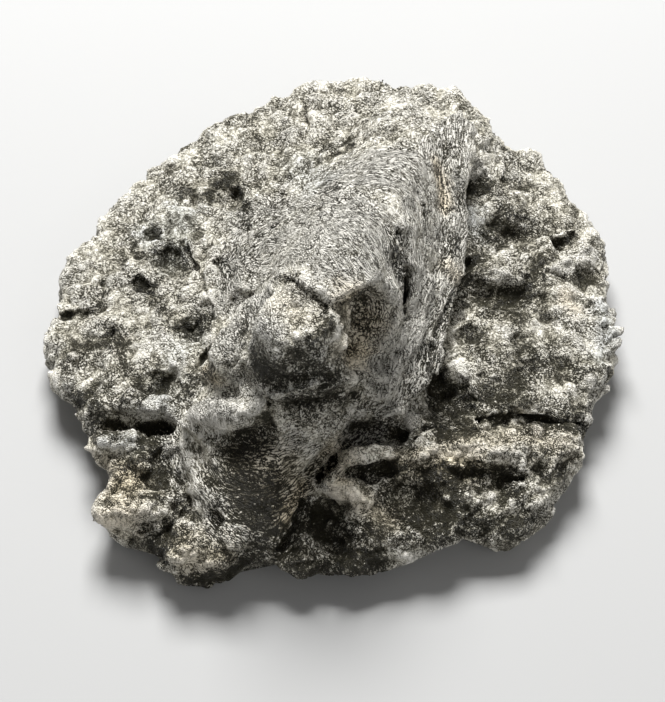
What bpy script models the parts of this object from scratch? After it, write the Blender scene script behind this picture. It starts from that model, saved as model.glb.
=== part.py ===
"""Fossil alligator scute: one plate of bone with a tall keel, pitted on top and dished underneath.

+Z is up, -Y is the tall hind end of the keel, and the plate rests on the lobes of its rim.
Sizes are in millimetres until the mesh is made, which is in metres.
"""

import bpy
import numpy as np
from mathutils import Vector, noise

MM = 0.001

# Driving dimensions.
PLATE_TOP = 9.0         # height of the upper face round the foot of the keel
DISH_HEIGHT = 4.0       # height of the hollow under the middle of the plate
KEEL_TOP = 28.0         # height of the keel's peak
RIM_BULGE = 0.9         # how far the rim's edge swells past its upper and lower corners
GRAIN = 0.35            # depth of the rough grain all over
SWELL = 0.55            # height of the plate's broad unevenness between its pits
TRIANGLES = 9000

# The peak of the keel, seen from above: the mesh fans out from under it.
PEAK = np.array([0.5, -8.5])

# The rim, anticlockwise from +X: angle in degrees, radius, height of its underside and of its upper edge.
# The lobes that touch the ground have an underside of 0 or less.
RIM = (
    (0, 30.5, 1.5, 6.0), (7, 30.2, 2.0, 6.0), (15, 30.9, 2.2, 6.5), (22, 31.5, 2.0, 6.5),
    (30, 31.2, 2.5, 6.5), (37, 32.1, 2.5, 7.0), (44, 32.4, 2.5, 7.0), (50, 31.1, 2.0, 7.0),
    (57, 32.5, 1.0, 7.5), (66, 33.1, -0.2, 7.5), (75, 33.2, -0.8, 7.5), (84, 33.5, -0.8, 7.5),
    (93, 32.6, -0.4, 7.5), (103, 31.3, 0.5, 7.0), (114, 29.9, 1.5, 7.0), (126, 29.3, 2.0, 6.5),
    (138, 28.5, 2.2, 6.5), (148, 28.9, 2.2, 6.0), (158, 28.9, 2.0, 6.0), (168, 29.9, 1.0, 5.5),
    (177, 29.7, 1.2, 5.5), (187, 30.8, 0.5, 5.5), (195, 30.0, 1.5, 5.5), (202, 28.9, 2.5, 5.5),
    (209, 29.0, 3.0, 5.5), (216, 29.8, 3.0, 5.5), (221, 29.7, 2.8, 5.5), (226, 33.6, 1.0, 5.5),
    (230, 33.9, 0.5, 5.5), (234, 32.9, 0.5, 5.0), (239, 32.9, 2.0, 5.0), (243, 33.9, -0.4, 4.5),
    (247, 33.2, -0.8, 4.5), (251, 31.4, -0.6, 4.5), (255, 29.7, 1.5, 5.0), (260, 29.7, 2.6, 5.5),
    (265, 30.7, 1.8, 5.0), (269, 29.7, 0.6, 4.5), (275, 30.3, 1.6, 5.0), (284, 29.8, 1.2, 5.0),
    (290, 30.0, 2.8, 5.5), (297, 29.9, 3.4, 5.5), (302, 31.6, 0.8, 5.5), (306, 32.2, -0.6, 5.0),
    (311, 32.0, -0.8, 5.0), (317, 31.5, 0.4, 5.5), (324, 31.1, 1.5, 5.5), (334, 29.7, 1.5, 6.0),
    (345, 29.9, 1.8, 6.0), (353, 30.8, 1.6, 6.0),
)

# The keel, front to back: y, then at that y the crest's x and height, the keel's width to the left
# of the crest and to its right.
KEEL = (
    (36.0, 14.5, 7.5, 11.0, 9.0),
    (27.5, 12.0, 10.0, 13.0, 9.0),
    (18.5, 9.0, 15.0, 15.0, 9.0),
    (8.5, 5.0, 20.0, 15.5, 10.0),
    (-0.5, 2.5, 25.0, 14.0, 10.8),
    (-7.0, 1.0, KEEL_TOP, 14.5, 10.5),
    (-10.5, 0.0, 27.5, 15.0, 10.5),
    (-12.0, -0.5, 25.0, 15.5, 10.0),
    (-13.5, -1.0, 19.0, 15.5, 9.5),
    (-15.0, -2.0, 15.5, 15.0, 8.5),
    (-20.0, -5.0, 12.5, 12.0, 6.0),
    (-25.0, -7.5, 9.5, 9.0, 4.5),
    (-29.0, -9.0, 6.5, 6.0, 4.0),
    (-33.0, -10.0, 4.5, 4.0, 4.0),
    (-37.0, -11.0, 4.0, 4.0, 4.0),
)

# Shelves that stand out from the keel's hind end: the middle's x and y, half width, half depth, the
# height of the middle of the floor, the floor's rise towards +X, and how far the face falls in one
# more half depth. The second is the flank that carries the first.
SHELVES = (
    (-3.4, -14.3, 3.7, 3.4, 25.7, 0.0, 24.0),
    (-8.0, -11.5, 4.2, 3.4, 20.3, 1.3, 12.0),
)
SHELF_LIP = 0.4         # how far a shelf's lip stands over its floor

# Hollows of the pitted plate and of the keel's hind face: radius, depth and the line each one follows.
# The points of these lines only have to lie near the surface.
PITS_RIGHT_OF_KEEL = (
    (2.4, 1.5, ((14.5, 13.5, 10), (17, 16, 9))),
    (2.2, 1.0, ((18, 10.5, 8.5), (22.5, 11.5, 8.5))),
    (3.6, 1.2, ((19, 7.5, 8.5), (20, 8.5, 8.5))),
    (1.8, 1.8, ((15.5, 2.5, 8.5), (13.8, -1.5, 8.5))),
    (2.4, 1.0, ((17.5, 1, 8.5), (20.5, 0.5, 8))),
    (1.8, 0.8, ((15, -4.5, 8.5),)),
    (1.3, 0.5, ((20, -4.5, 8),)),
    (1.3, 1.0, ((25.5, 8.5, 8), (27, 9.5, 7.5))),
    (1.9, 1.1, ((26, 4, 7.5), (28.5, 5, 7))),
    (2.2, 0.6, ((28, 1.5, 7),)),
    (3.2, 2.2, ((11.5, -11, 8.5), (13, -14, 8))),
    (2.2, 0.6, ((20.5, -9, 7.5), (17, -12, 8))),
    (2.6, 1.4, ((15.5, -22, 6.5), (18, -21.5, 6))),
    (3.4, 1.4, ((9.5, -24.5, 7), (6.5, -24, 6.5))),
    (3.2, 1.8, ((-0.5, -25.5, 6), (0.5, -28, 5.5))),
    (2.0, 2.2, ((2.5, -17.5, 9), (7, -16.5, 8.5))),
    (1.8, 1.3, ((2, -22, 7.5), (5.5, -21, 7.5))),
)
PITS_LEFT_OF_KEEL = (
    (2.5, 1.2, ((-12, 14.5, 8.5),)),
    (1.9, 0.9, ((-16.5, 15, 8.5), (-15, 14, 8.5))),
    (1.6, 0.6, ((-16, 10.5, 8.5), (-15, 9.5, 8.5))),
    (3.0, 1.3, ((-17.5, 6.5, 8), (-17, 5.5, 8))),
    (1.3, 0.6, ((-20, 10, 8),)),
    (1.5, 0.5, ((-21.5, 6.5, 7.5),)),
    (1.8, 0.8, ((-21, 3, 7.5), (-20, 2, 8))),
    (2.4, 1.7, ((-14, -2, 8.5), (-15, -3.5, 8.5))),
    (1.2, 0.5, ((-25, 3, 7),)),
    (2.2, 0.9, ((-24, -3.5, 7), (-26, -4.5, 7))),
    (2.2, 0.5, ((-26.5, -7.5, 6.5),)),
    (2.2, 1.1, ((-18.5, -10.5, 7.5), (-17.5, -10, 7.5))),
    (1.4, 0.8, ((-12.5, -10, 9),)),
    (1.4, 0.4, ((-12, 5.5, 8.5), (-11.5, 3.5, 8.5))),
    (2.0, 1.4, ((-17, -19.5, 7), (-17.5, -22, 7))),
    (1.8, 1.7, ((-23, -14.5, 6.5), (-18, -15.5, 7.5))),
)
HOLLOWS_OF_KEEL = (
    (3.4, 0.6, ((-2, 17, 10.5), (-2, 15.5, 11))),
    (0.9, 0.6, ((-5.5, 14.5, 9.5),)),
    (0.9, 0.7, ((2, 19.5, 12),)),
    (2.8, 2.6, ((4, -11.5, 23.5), (4, -12, 21))),
    (1.4, 0.8, ((2, -13.5, 19),)),
    (2.4, 0.8, ((-7.5, -20, 12), (-9.5, -20.5, 11))),
    (1.0, 0.8, ((-12, -26.5, 7.5),)),
)

# Long cuts: half width, depth and the line. The first is the slit beside the crest, the next two the
# split across the plate's right side.
FURROWS = (
    (1.5, 3.4, ((7.6, -0.5, 20.5), (7.9, -3, 19.3), (8.1, -5.5, 17.8), (7.9, -8.5, 16.5))),
    (1.3, 1.9, ((16, -15, 7.5), (18.5, -14.3, 7.5), (22, -14.5, 7), (30, -14.8, 6))),
    (0.7, 0.8, ((10.5, -16, 8), (13.5, -16.5, 7.5), (17, -15.5, 7.5))),
    (1.1, 0.8, ((-29.5, 0, 6.5), (-27, -0.5, 7), (-24.5, 0.5, 7.5))),
    (1.3, 1.5, ((-15, -24.5, 6.5), (-17.5, -26.5, 5.5), (-19, -26.5, 5))),
    (1.4, 0.8, ((-10, -0.5, 9.5), (-12.5, -6.5, 9), (-15, -12.5, 8))),
    (0.9, 1.3, ((16, 5.5, 8.5), (15, 1.5, 8.5), (13.5, -2.5, 8.5), (12, -7, 9))),
    (1, 0.9, ((13, -21, 7.5), (15.5, -21, 6.5), (19.5, -21, 6))),
    (1.4, 1.6, ((1.5, -18.5, 9), (-1.5, -22, 7.5), (-3.5, -26.5, 6.5), (-5, -29, 5.5))),
    (1.2, 1, ((-18, -14.5, 7.5), (-16.5, -19.5, 7.5), (-15.5, -24.5, 6.5))),
    (1.5, 1, ((-6.5, -18, 16), (-3, -19, 17), (0.5, -18, 16))),
)

# Folds, ledges and lumps: half width, height and the line. The first is the long fold down the keel's
# right side, the third the brow over the hollows of the hind face.
RIDGES = (
    (2.4, 2.5, ((14, 21, 12), (13.3, 14, 12.5), (13.2, 8.5, 11), (13, 4.5, 10), (12.5, 1, 10),
                (11.2, -3, 11), (9.8, -7, 11.5), (8.5, -11, 11.5), (5.5, -15, 9.5))),
    (1.2, 1.1, ((7, -16.5, 8.5), (2, -19.5, 8), (-1, -22, 7.5), (-4, -25.5, 7), (-5.5, -28.5, 6))),
    (1.6, 0.8, ((-6, -9.5, 24), (-2.5, -10.5, 26), (0.5, -11.5, 25.5), (3.5, -10.5, 25.5),
                (6, -9, 22))),
    (2, 1.2, ((9.5, -19, 8), (14.5, -18.7, 7.5), (21, -18.5, 6.5), (28, -18, 6))),
    (1.2, 0.8, ((0, -15, 26), (0.5, -15.5, 24.5), (1, -15, 21.5))),
    (1.1, 1.2, ((-6, -18.3, 18), (-3, -18.7, 19.3), (0.5, -17.5, 19))),
    (2.8, 1.3, ((-13.5, -15.5, 9), (-10.5, -15, 11), (-7.5, -15.5, 13))),
    (1.6, 0.9, ((-15, -18.5, 8), (-13, -23.5, 8), (-9.5, -28.5, 7))),
    (1.6, 1.1, ((-24.5, -17, 6), (-21, -16.5, 6.5))),
    (2, 1.2, ((-24.5, -11.5, 6.5), (-20.5, -12.5, 7), (-16.5, -13, 7.5))),
    (1.6, 0.7, ((13.5, 2.5, 8.5), (18.5, 4, 8.5), (24, 6, 8))),
    (1.4, 0.9, ((1, -19.5, 8), (5.5, -19, 8))),
    (3, 1.2, ((-23, -24.5, 5.5), (-18.5, -24.5, 5.5))),
    (3.2, 1, ((-15, -29, 5), (-13, -29, 5.5))),
    (1.4, 0.7, ((-9, 12.5, 9), (-9, 8, 9), (-10, 1, 9))),
    (2, 1, ((5, -24, 6.5), (0, -22.5, 7))),
)

# Small holes for blood vessels in the smooth underside: radius, depth and place.
HOLES_BELOW = (
    (1.1, 1.1, ((5, 6, 4),)),
    (0.9, 1.0, ((-8, -3, 4),)),
    (0.8, 0.9, ((11, -9, 4),)),
    (0.8, 0.8, ((-4, 15, 3),)),
)

# How fine the mesh is while it is shaped.
RINGS_ON_TOP = 90
RINGS_ON_EDGE = 6
RINGS_BELOW = 26
SPOKES = 216
ROUGH_VOXEL = 0.5
FINE_VOXEL = 0.42
FOOT_FLATNESS = 0.12    # points this near the ground are put on it


def smooth_curve(keys, values, at):
    """Values between the keys, on a curve that runs through them and never swings past them."""
    steps = np.diff(values) / np.diff(keys)
    slopes = np.zeros(len(keys))
    same_way = steps[1:] * steps[:-1] > 0
    total = np.where(same_way, steps[1:] + steps[:-1], 1)
    slopes[1:-1] = np.where(same_way, 2 * steps[1:] * steps[:-1] / total, 0)
    i = np.clip(np.searchsorted(keys, at) - 1, 0, len(keys) - 2)
    span = keys[i + 1] - keys[i]
    t = np.clip((at - keys[i]) / span, 0, 1)
    return (
        (2 * t**3 - 3 * t**2 + 1) * values[i]
        + (t**3 - 2 * t**2 + t) * span * slopes[i]
        + (3 * t**2 - 2 * t**3) * values[i + 1]
        + (t**3 - t**2) * span * slopes[i + 1]
    )


def rim_at(angles):
    """Radius, underside and upper edge of the rim at these angles in degrees."""
    rows = np.array(RIM, float)
    turn = np.array([360.0, 0, 0, 0])
    rows = np.vstack([rows[-2:] - turn, rows, rows[:2] + turn])
    return [smooth_curve(rows[:, 0], rows[:, k], angles) for k in (1, 2, 3)]


def keel_at(y):
    """Crest x, crest height, left width and right width at this y."""
    rows = np.array(KEEL[::-1], float)
    return [smooth_curve(rows[:, 0], rows[:, k], y) for k in (1, 2, 3, 4)]


def keel_rise(x, y, ground):
    """How far the keel stands over the plate, whose height is ground."""
    crest_x, crest_z, left, right = keel_at(y)
    across = x - crest_x
    left_share = np.clip(-across / left, 0, 1)
    right_share = np.clip(across / right, 0, 1) ** 1.5
    share = np.where(across < 0, left_share, right_share)
    return np.maximum(crest_z - ground, 0) * (0.5 + 0.5 * np.cos(np.pi * share))


def with_shelves(x, y, height):
    """The height of the surface where shelves stand out of it."""
    for middle_x, middle_y, half_width, half_depth, floor, tilt, fall in SHELVES:
        share = np.hypot((x - middle_x) / half_width, (y - middle_y) / half_depth)
        lip = floor + tilt * (x - middle_x) + SHELF_LIP * np.minimum(share, 1) ** 2
        height = np.maximum(height, lip - fall * np.maximum(share - 1, 0))
    return height


def grid():
    """The points of the plate, ring by ring: from the peak out over the top, round the rim and in below."""
    angles = np.arange(SPOKES) * 360 / SPOKES
    radius, underside, upper = rim_at(angles)
    turn = np.radians(angles)
    rim_x, rim_y = radius * np.cos(turn), radius * np.sin(turn)
    rings = []
    for share in np.arange(1, RINGS_ON_TOP + 1) / RINGS_ON_TOP:
        x = PEAK[0] + (rim_x - PEAK[0]) * share
        y = PEAK[1] + (rim_y - PEAK[1]) * share
        ground = upper + (PLATE_TOP - upper) * (1 - share**2)
        height = with_shelves(x, y, ground + keel_rise(x, y, ground))
        rings.append(np.stack([x, y, height], axis=1))
    top_edge = rings[-1][:, 2]
    for k in range(1, RINGS_ON_EDGE):
        share = k / RINGS_ON_EDGE
        swell = 1 + RIM_BULGE * np.sin(np.pi * share) / radius
        height = top_edge + (underside - top_edge) * share
        rings.append(np.stack([rim_x * swell, rim_y * swell, height], axis=1))
    for share in np.arange(RINGS_BELOW, 0, -1) / RINGS_BELOW:
        x = PEAK[0] + (rim_x - PEAK[0]) * share
        y = PEAK[1] + (rim_y - PEAK[1]) * share
        height = underside + (DISH_HEIGHT - underside) * (1 - share**2.5)
        rings.append(np.stack([x, y, height], axis=1))
    return rings


def closed_mesh(rings):
    """Points and quads of a shape closed by a point at each end of its rings."""
    first = np.append(PEAK, keel_at(PEAK[1])[1])
    last = np.append(PEAK, DISH_HEIGHT)
    points = np.vstack([first[None], *rings, last[None]])
    faces = []
    for k in range(SPOKES):
        faces.append((0, 1 + k, 1 + (k + 1) % SPOKES))
    for ring in range(len(rings) - 1):
        start = 1 + ring * SPOKES
        for k in range(SPOKES):
            after = (k + 1) % SPOKES
            faces.append((start + k, start + SPOKES + k, start + SPOKES + after, start + after))
    start = 1 + (len(rings) - 1) * SPOKES
    for k in range(SPOKES):
        faces.append((start + k, len(points) - 1, start + (k + 1) % SPOKES))
    return points, faces


def read_mesh(mesh):
    """Points in millimetres and quads of a mesh made of quads only."""
    points = np.empty(len(mesh.vertices) * 3)
    mesh.vertices.foreach_get("co", points)
    corners = np.empty(len(mesh.loops), int)
    mesh.loops.foreach_get("vertex_index", corners)
    return points.reshape(-1, 3) / MM, corners.reshape(-1, 4)


def normals_of(points, quads):
    """The surface's outward direction at each point."""
    a, b, c, d = (points[quads[:, k]] for k in range(4))
    facing = np.cross(c - a, d - b)
    normals = np.zeros_like(points)
    for k in range(4):
        np.add.at(normals, quads[:, k], facing)
    return normals / np.maximum(np.linalg.norm(normals, axis=1), 1e-9)[:, None]


def distance_to_line(points, line):
    """How far each point is from a line through some places, each first moved onto the surface."""
    ends = [points[np.argmin(((points - place) ** 2).sum(1))] for place in np.array(line, float)]
    if len(ends) == 1:
        return np.linalg.norm(points - ends[0], axis=1)
    nearest = np.full(len(points), 1e9)
    for start, end in zip(ends, ends[1:]):
        along = end - start
        share = np.clip((points - start) @ along / max(along @ along, 1e-9), 0, 1)
        gap = np.linalg.norm(points - start - share[:, None] * along, axis=1)
        nearest = np.minimum(nearest, gap)
    return nearest


def bump(share):
    """A rounded bump, 1 in the middle and 0 from share 1 on."""
    return 0.5 + 0.5 * np.cos(np.pi * np.clip(share, 0, 1))


def pit_shape(share):
    """A pit with a wide floor and a raised lip."""
    return -bump(share**1.15) + 0.22 * np.exp(-(((share - 1.2) / 0.25) ** 2))


def furrow_shape(share):
    """A cut with steep sides and slight lips."""
    return -np.clip(1 - share, 0, 1) ** 0.8 + 0.12 * np.exp(-(((share - 1.3) / 0.3) ** 2))


def carve(points, quads, rows, shape, upper_side=True):
    """Moves the surface in or out along its own direction round each row's line."""
    normals = normals_of(points, quads)
    facing = normals[:, 2] if upper_side else -normals[:, 2]
    reach = np.clip((facing + 0.3) / 0.3, 0, 1)
    moved = np.zeros(len(points))
    for radius, height, line in rows:
        share = distance_to_line(points, line) / radius
        moved += height * shape(share) * reach
    return points + normals * moved[:, None]


def roughen(points, quads):
    """Grain all over, scallops round the rim and low hills on the plate."""
    normals = normals_of(points, quads)
    out = np.hypot(points[:, 0], points[:, 1])
    moved = np.empty(len(points))
    for k, (x, y, z) in enumerate(points):
        fine = noise.noise(Vector((x, y, z)) * 0.9)
        broad = noise.noise(Vector((x, y, z)) * 0.4 + Vector((7, 3, 1)))
        hilly = noise.noise(Vector((x, y, z)) * 0.21 + Vector((2, 9, 4)))
        by_rim = min(max((out[k] - 27) / 3, 0), 1)
        below = 0.35 if normals[k, 2] < -0.5 else 1
        on_plate = min(max((PLATE_TOP + 3 - z) / 2, 0), 1) if normals[k, 2] > 0 else 0
        moved[k] = GRAIN * below * (fine + 1.2 * broad + 1.2 * by_rim * fine)
        moved[k] += SWELL * on_plate * (1 - by_rim) * hilly
    return points + normals * moved[:, None]


def shape_bone(points, quads):
    """The plate with all its folds, pits, furrows and grain, standing on its flattened lobes."""
    points = carve(points, quads, RIDGES, bump)
    points = carve(points, quads, PITS_RIGHT_OF_KEEL + PITS_LEFT_OF_KEEL, pit_shape)
    points = carve(points, quads, HOLLOWS_OF_KEEL, pit_shape)
    points = carve(points, quads, FURROWS, furrow_shape)
    points = carve(points, quads, HOLES_BELOW, pit_shape, upper_side=False)
    points = roughen(points, quads)
    points[:, 2] = np.maximum(points[:, 2], 0)
    return points


def remeshed(thing, voxel):
    """A new mesh of this object, in quads of one size."""
    even = thing.modifiers.new("even mesh", "REMESH")
    even.mode = "VOXEL"
    even.voxel_size = voxel * MM
    graph = bpy.context.evaluated_depsgraph_get()
    mesh = bpy.data.meshes.new_from_object(thing.evaluated_get(graph))
    thing.modifiers.remove(even)
    return mesh


def thinned(thing):
    """A new mesh of this object, in as many triangles as it may have."""
    thin = thing.modifiers.new("fewer faces", "DECIMATE")
    thin.ratio = TRIANGLES / (2 * len(thing.data.polygons))
    thin.use_collapse_triangulate = True
    graph = bpy.context.evaluated_depsgraph_get()
    mesh = bpy.data.meshes.new_from_object(thing.evaluated_get(graph))
    thing.modifiers.remove(thin)
    return mesh


def write_points(mesh, points):
    mesh.vertices.foreach_set("co", (points * MM).ravel())
    mesh.update()


def settle(mesh):
    """Puts the feet flat on the ground and the middle of the plan at x = 0, y = 0."""
    points = np.empty(len(mesh.vertices) * 3)
    mesh.vertices.foreach_get("co", points)
    points = points.reshape(-1, 3) / MM
    points[:, 2] -= points[:, 2].min()
    points[points[:, 2] < FOOT_FLATNESS, 2] = 0
    points[:, :2] -= (points[:, :2].max(0) + points[:, :2].min(0)) / 2
    write_points(mesh, points)


def bone_material():
    """Dark grey fossil bone."""
    material = bpy.data.materials.new("bone")
    material.use_nodes = True
    shader = material.node_tree.nodes["Principled BSDF"]
    shader.inputs["Base Color"].default_value = (0.28, 0.27, 0.24, 1)
    shader.inputs["Roughness"].default_value = 0.7
    shader.inputs["Metallic"].default_value = 0.0
    return material


def main():
    for thing in list(bpy.data.objects):
        bpy.data.objects.remove(thing)
    points, faces = closed_mesh(grid())
    blank = bpy.data.meshes.new("blank")
    blank.from_pydata([Vector(p) * MM for p in points], [], faces)
    scute = bpy.data.objects.new("scute", blank)
    bpy.context.scene.collection.objects.link(scute)
    scute.data = remeshed(scute, ROUGH_VOXEL)
    points, quads = read_mesh(scute.data)
    write_points(scute.data, shape_bone(points, quads))
    scute.data = remeshed(scute, FINE_VOXEL)
    scute.data = thinned(scute)
    scute.data.name = "scute"
    settle(scute.data)
    scute.data.materials.append(bone_material())
    scute.data.shade_smooth()


main()
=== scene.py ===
"""Fossil alligator scute: one pitted plate of bone with a tall keel.

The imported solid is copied, evened out and carved: folds, pits, furrows, crumbs of bone and grain.
Places on the surface are given as frame positions, 665 across and 702 down, and each is found by a
line of sight from the camera. Sizes are in millimetres until the finished mesh is made.
"""

import math

import bmesh
import bpy
import numpy as np
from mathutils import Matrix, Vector, noise
from mathutils.bvhtree import BVHTree


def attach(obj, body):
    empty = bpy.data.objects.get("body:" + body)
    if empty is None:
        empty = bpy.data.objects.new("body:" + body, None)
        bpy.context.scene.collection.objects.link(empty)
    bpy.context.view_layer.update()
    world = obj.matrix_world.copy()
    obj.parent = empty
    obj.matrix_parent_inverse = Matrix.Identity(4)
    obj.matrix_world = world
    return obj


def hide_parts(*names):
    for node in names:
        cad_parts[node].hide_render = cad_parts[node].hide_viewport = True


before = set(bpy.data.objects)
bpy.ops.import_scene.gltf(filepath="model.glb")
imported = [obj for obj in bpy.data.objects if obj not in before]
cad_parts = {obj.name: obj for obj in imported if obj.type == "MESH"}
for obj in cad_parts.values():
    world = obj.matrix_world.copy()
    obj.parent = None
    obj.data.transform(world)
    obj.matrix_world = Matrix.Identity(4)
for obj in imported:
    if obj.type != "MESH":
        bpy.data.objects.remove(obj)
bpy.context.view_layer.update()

MM = 0.001

# The camera.
FRAME_WIDTH, FRAME_HEIGHT = 665, 702
CAMERA_ELEVATION = math.radians(55)
CAMERA_DISTANCE = 250.0
AIM = Vector((0.24, -2.1, 0.0))
PIXELS_PER_MM = 8.94
SENSOR = 36.0
LENS = PIXELS_PER_MM * CAMERA_DISTANCE * SENSOR / FRAME_HEIGHT
TO_CAMERA = Vector((0, -math.cos(CAMERA_ELEVATION), math.sin(CAMERA_ELEVATION)))
CAMERA_UP = Vector((0, math.sin(CAMERA_ELEVATION), math.cos(CAMERA_ELEVATION)))

# The mesh: voxels in mm, the rest in metres.
BLANK_VOXEL = 0.36
BONE_VOXEL = 0.25
MOST_TRIANGLES = 192000
SAME_PLACE = 0.0000002

# The crumbly rim, in mm from the middle, and how often the surface is evened out to find its hollows and
# ridges, which are painted darker and lighter as shade and light.
RIM_START, RIM_WIDTH = 27, 4
FINE_EVENING, BROAD_EVENING = 12, 120
SEED = 7
CRUMB_SIZE = 0.00045
CRUMBS_PER_SQUARE_METRE = 450000.0

# How strongly the patches of darker and paler colour show: darker and paler mineral, with painted shade and
# painted light among them.
DARK_TONE_AND_SHADE_STRENGTH = -1.15
PALE_TONE_AND_LIGHT_STRENGTH = 1.1
TONE_LIGHT_AND_SHADE_LIMITS = (-1.1, 0.36)

# Rounded lumps: height in mm, size in mm, and a shift that keeps their patterns apart.
LUMPS = ((0.9, 2.8, 8.0), (0.6, 1.5, 3.0), (0.35, 0.8, 5.0))
SWELLS = (0.8, 4.5, 1.0)
CREASE = 0.2

# The mineral's patterns and the painted glints, in waves for each metre.
FINE_FLECKS = 6500
FIBRE_LINES = 3500
GLINTS = 2800
THIN_LINES = 1900
CLUMPS = 1500
ROUGHNESS_LUMPS = 1300
FIBRE_WAVES = 800
BLOTCHES = 420
WORN_PLACES = 330

# How far the fibre lines are drawn out, as steps along the fibres and metres for each step.
FIBRE_STEPS = range(-4, 5)
FIBRE_STEP = 0.00014
FIBRE_WAVINESS = 1.6

# Pits: radius in frame pixels, depth in mm, and the places each one runs through.
RIGHT_PITS = (
    (22, 0.4, ((462, 196), (478, 186))),
    (24, 0.4, ((490, 222), (525, 216))),
    (30, 0.4, ((498, 248), (515, 242))),
    (14, 0.5, ((462, 280), (445, 305))),
    (18, 0.4, ((488, 296), (520, 297))),
    (14, 0.4, ((470, 335),)),
    (10, 0.5, ((513, 340),)),
    (9, 0.8, ((560, 243), (572, 238))),
    (12, 0.5, ((570, 281), (592, 279))),
    (20, 0.3, ((578, 297),)),
    (28, 0.6, ((432, 385), (455, 402))),
    (20, 0.3, ((520, 375), (495, 395))),
    (18, 0.35, ((478, 482), (510, 482))),
    (7, 0.5, ((480, 492),)),
    (24, 0.5, ((420, 500), (395, 508))),
    (25, 0.6, ((318, 515), (338, 538))),
    (15, 0.8, ((358, 436), (395, 430))),
    (14, 0.5, ((350, 478), (385, 472))),
    (10, 0.5, ((545, 300), (552, 330))),
    (12, 0.5, ((560, 360), (575, 375))),
)
LEFT_PITS = (
    (20, 0.8, ((224, 194), (230, 200))),
    (14, 0.4, ((185, 196), (196, 202))),
    (8, 0.6, ((196, 234),)),
    (7, 0.5, ((188, 218),)),
    (23, 0.5, ((170, 260), (176, 266))),
    (8, 0.7, ((151, 231),)),
    (6, 0.6, ((137, 255),)),
    (5, 0.5, ((126, 270),)),
    (12, 0.6, ((138, 284), (150, 292))),
    (17, 0.6, ((202, 318), (192, 334))),
    (7, 0.7, ((103, 285),)),
    (5, 0.4, ((82, 294),)),
    (8, 0.5, ((150, 326),)),
    (11, 0.7, ((112, 334),)),
    (15, 0.3, ((88, 342), (76, 340))),
    (16, 0.3, ((84, 368),)),
    (13, 0.5, ((142, 383), (170, 382))),
    (9, 0.7, ((118, 402),)),
    (10, 0.7, ((208, 372),)),
    (10, 0.5, ((222, 264), (228, 278))),
    (13, 0.9, ((150, 435), (164, 434))),
    (10, 0.8, ((95, 428), (122, 431))),
    (16, 0.6, ((160, 460), (155, 482))),
    (10, 0.5, ((130, 470), (140, 480))),
)
KEEL_HOLLOWS = (
    (26, 0.2, ((312, 170),)),
    (6, 0.5, ((282, 193),)),
    (3, 0.3, ((257, 186),)),
    (6, 0.6, ((352, 143),)),
    (22, 0.7, ((368, 308), (372, 330))),
    (8, 0.5, ((357, 326),)),
    (7, 0.5, ((352, 348),)),
    (7, 0.5, ((214, 517), (219, 521))),
    (10, 0.6, ((350, 398),)),
)

# Cuts: half width in pixels, depth in mm, places.
CUTS = (
    (3, 0.5, ((277, 278), (290, 280), (300, 285), (309, 293), (318, 302), (326, 311))),
    (10, 2.2, ((399, 238), (401, 250), (403, 262), (405, 276), (405, 290))),
    (5, 1.4, ((405, 286), (406, 302), (407, 318))),
    (3, 0.7, ((425, 205), (424, 222))),
    (4, 1.0, ((478, 421), (497, 417), (520, 415), (541, 419), (560, 423), (582, 426), (606, 429))),
    (2.5, 0.7, ((425, 428), (440, 427), (455, 431), (472, 430))),
    (2.5, 0.6, ((398, 437), (408, 440), (420, 436))),
    (5, 0.4, ((60, 317), (85, 314), (105, 309))),
    (2.5, 0.6, ((182, 241), (191, 262), (203, 276), (206, 292), (211, 306))),
    (2.5, 0.5, ((258, 240), (270, 230), (283, 222))),
    (5, 1.0, ((470, 262), (460, 285), (448, 312), (437, 335))),
    (5, 0.8, ((434, 345), (432, 372), (416, 398))),
    (5, 0.4, ((455, 470), (480, 474), (520, 480))),
    (6, 0.7, ((398, 418), (350, 443), (320, 476), (298, 512), (280, 545))),
    (6, 0.4, ((168, 432), (178, 462), (188, 498))),
    (4, 0.8, ((178, 384), (192, 398))),
    (4, 0.4, ((266, 402), (284, 405), (300, 402), (320, 399))),
    (3, 0.4, ((505, 145), (507, 175), (498, 200))),
    (4, 0.6, ((305, 108), (310, 128))),
    (5, 0.6, ((246, 205), (247, 235), (240, 262))),
    (4, 0.5, ((232, 300), (212, 345), (196, 375))),
    (6, 1.6, ((396, 240), (399, 248), (401, 256), (403, 264))),
)

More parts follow.
